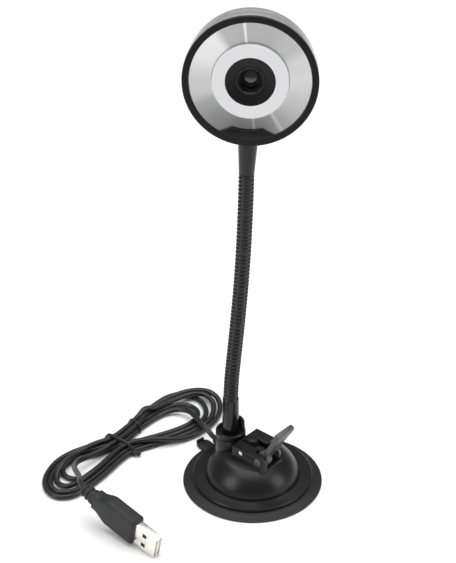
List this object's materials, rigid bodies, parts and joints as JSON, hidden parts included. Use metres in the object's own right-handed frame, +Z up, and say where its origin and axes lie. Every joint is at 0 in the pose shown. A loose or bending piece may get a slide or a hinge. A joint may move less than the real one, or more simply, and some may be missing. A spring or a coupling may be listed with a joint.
{
  "type": "webcam on tripod",
  "caption": "Round webcam head on a bendable gooseneck, standing on a lever-lock suction cup, with a tied USB cable and plug.",
  "frame": {"origin": "centre of the suction cup's rim on the surface it stands on", "axes": "+Z up along the base, the lens looks along -Y, +X to the right seen from in front of the lens"},
  "size_m": [0.1442, 0.1385, 0.2483],
  "materials": {
    "black_plastic": "black moulded ABS, fine satin texture",
    "gloss_black": "smooth black moulded plastic",
    "silver_paint": "silver-grey paint on moulded plastic",
    "face_chrome": "brushed mirror-like silver trim with radial streaks",
    "satin_white": "satin white-silver ring",
    "neck_black": "black ribbed gooseneck sleeve",
    "rubber": "soft black rubber",
    "cord": "black PVC cable jacket",
    "steel": "plain steel",
    "shell_metal": "nickel-plated steel plug shell",
    "gold": "gold-plated contacts",
    "white_plastic": "white moulded insulator",
    "board_green": "green solder-mask board",
    "chip_black": "black moulded chip",
    "lens_glass": "coated lens glass",
    "filter_glass": "infrared-cut glass",
    "lever_plastic": "dark grey moulded plastic"
  },
  "bodies": {
    "root": {"base_cover": "black_plastic", "tower_collar": "black_plastic", "friction_washer": "steel", "suction_cup": "rubber", "guide_pin": "steel", "lever_pivot_pin": "steel", "cable_grommet": "black_plastic", "cord_lead": "cord", "cord_hank": "cord", "cord_tail": "cord", "twist_tie": "cord", "cord_band": "cord", "plug_strain_relief": "cord", "plug_overmold": "cord", "plug_shell": "shell_metal", "plug_tongue": "white_plastic", "plug_contacts": "gold"},
    "neck_base": {"lower_ferrule": "gloss_black", "neck_cable": "cord", "neck_link_01": "neck_black"},
    "neck_lower": {"neck_link_02": "neck_black", "neck_link_03": "neck_black", "neck_link_04": "neck_black"},
    "neck_lower_mid": {"neck_link_05": "neck_black", "neck_link_06": "neck_black"},
    "neck_middle": {"neck_link_07": "neck_black", "neck_link_08": "neck_black", "neck_link_09": "neck_black"},
    "neck_upper_mid": {"neck_link_10": "neck_black", "neck_link_11": "neck_black"},
    "neck_upper": {"neck_link_12": "neck_black", "neck_link_13": "neck_black", "neck_link_14": "neck_black"},
    "head": {"neck_link_15": "neck_black", "front_bezel": "black_plastic", "face_reflector": "face_chrome", "housing_band": "silver_paint", "rear_cover": "silver_paint", "lens_holder": "black_plastic", "ir_filter": "filter_glass", "image_sensor": "chip_black", "main_board": "board_green", "controller_chip": "chip_black", "crystal": "steel", "cable_connector": "white_plastic", "cover_screws": "steel", "board_screws": "steel", "upper_ferrule": "gloss_black", "ferrule_nut": "gold"},
    "focus": {"focus_ring": "satin_white", "lens_cone": "black_plastic", "lens_barrel": "black_plastic", "front_lens": "lens_glass", "rear_lens": "lens_glass"},
    "lever": {"lever": "lever_plastic", "crank_pin": "steel"},
    "stem": {"cup_stem": "black_plastic", "cup_membrane": "rubber"}
  },
  "joints": [
    {"name": "neck_swivel", "type": "hinge", "parent": "root", "child": "neck_base", "pos_m": [-0.011, 0.0085, 0.025], "axis": [0, 0, 1], "range_deg": [-90, 90]},
    {"name": "lower_tilt", "type": "hinge", "parent": "neck_base", "child": "neck_lower", "pos_m": [-0.01057, 0.00855, 0.05529], "axis": [0.9986, 0, -0.0523], "range_deg": [-25, 25], "deforming": ["neck_cable"]},
    {"name": "lower_sway", "type": "hinge", "parent": "neck_lower", "child": "neck_lower_mid", "pos_m": [-0.0085, 0.009, 0.0798], "axis": [-0.0021, 0.9997, -0.0243], "range_deg": [-25, 25]},
    {"name": "middle_tilt", "type": "hinge", "parent": "neck_lower_mid", "child": "neck_middle", "pos_m": [-0.00714, 0.00955, 0.09613], "axis": [0.9969, 0, -0.0785], "range_deg": [-25, 25]},
    {"name": "middle_sway", "type": "hinge", "parent": "neck_middle", "child": "neck_upper_mid", "pos_m": [-0.00543, 0.01075, 0.12064], "axis": [-0.0034, 0.9985, -0.0548], "range_deg": [-25, 25]},
    {"name": "upper_tilt", "type": "hinge", "parent": "neck_upper_mid", "child": "neck_upper", "pos_m": [-0.00464, 0.0118, 0.13699], "axis": [0.999, 0, -0.0436], "range_deg": [-25, 25]},
    {"name": "upper_sway", "type": "hinge", "parent": "neck_upper", "child": "head", "pos_m": [-0.00386, 0.01376, 0.1615], "axis": [-0.0022, 0.9963, -0.0854], "range_deg": [-25, 25]},
    {"name": "focus_turn", "type": "hinge", "parent": "head", "child": "focus", "pos_m": [-0.00221, 0.01362, 0.21691], "axis": [-0.0434, -0.993, 0.1097], "range_deg": [-150, 150]},
    {"name": "lever_turn", "type": "hinge", "parent": "root", "child": "lever", "pos_m": [0.0086, -0.00748, 0.0216], "axis": [0.6561, 0.7547, 0], "range_deg": [0, 90.2]},
    {"name": "stem_lift", "type": "slide", "parent": "root", "child": "stem", "axis": [0, 0, 1], "range_m": [0, 0.00339], "deforming": ["cup_membrane"]}
  ],
  "couplings": [
    {"joint": "lever_turn", "follows": "stem_lift", "rad_per_m": 462.8}
  ]
}
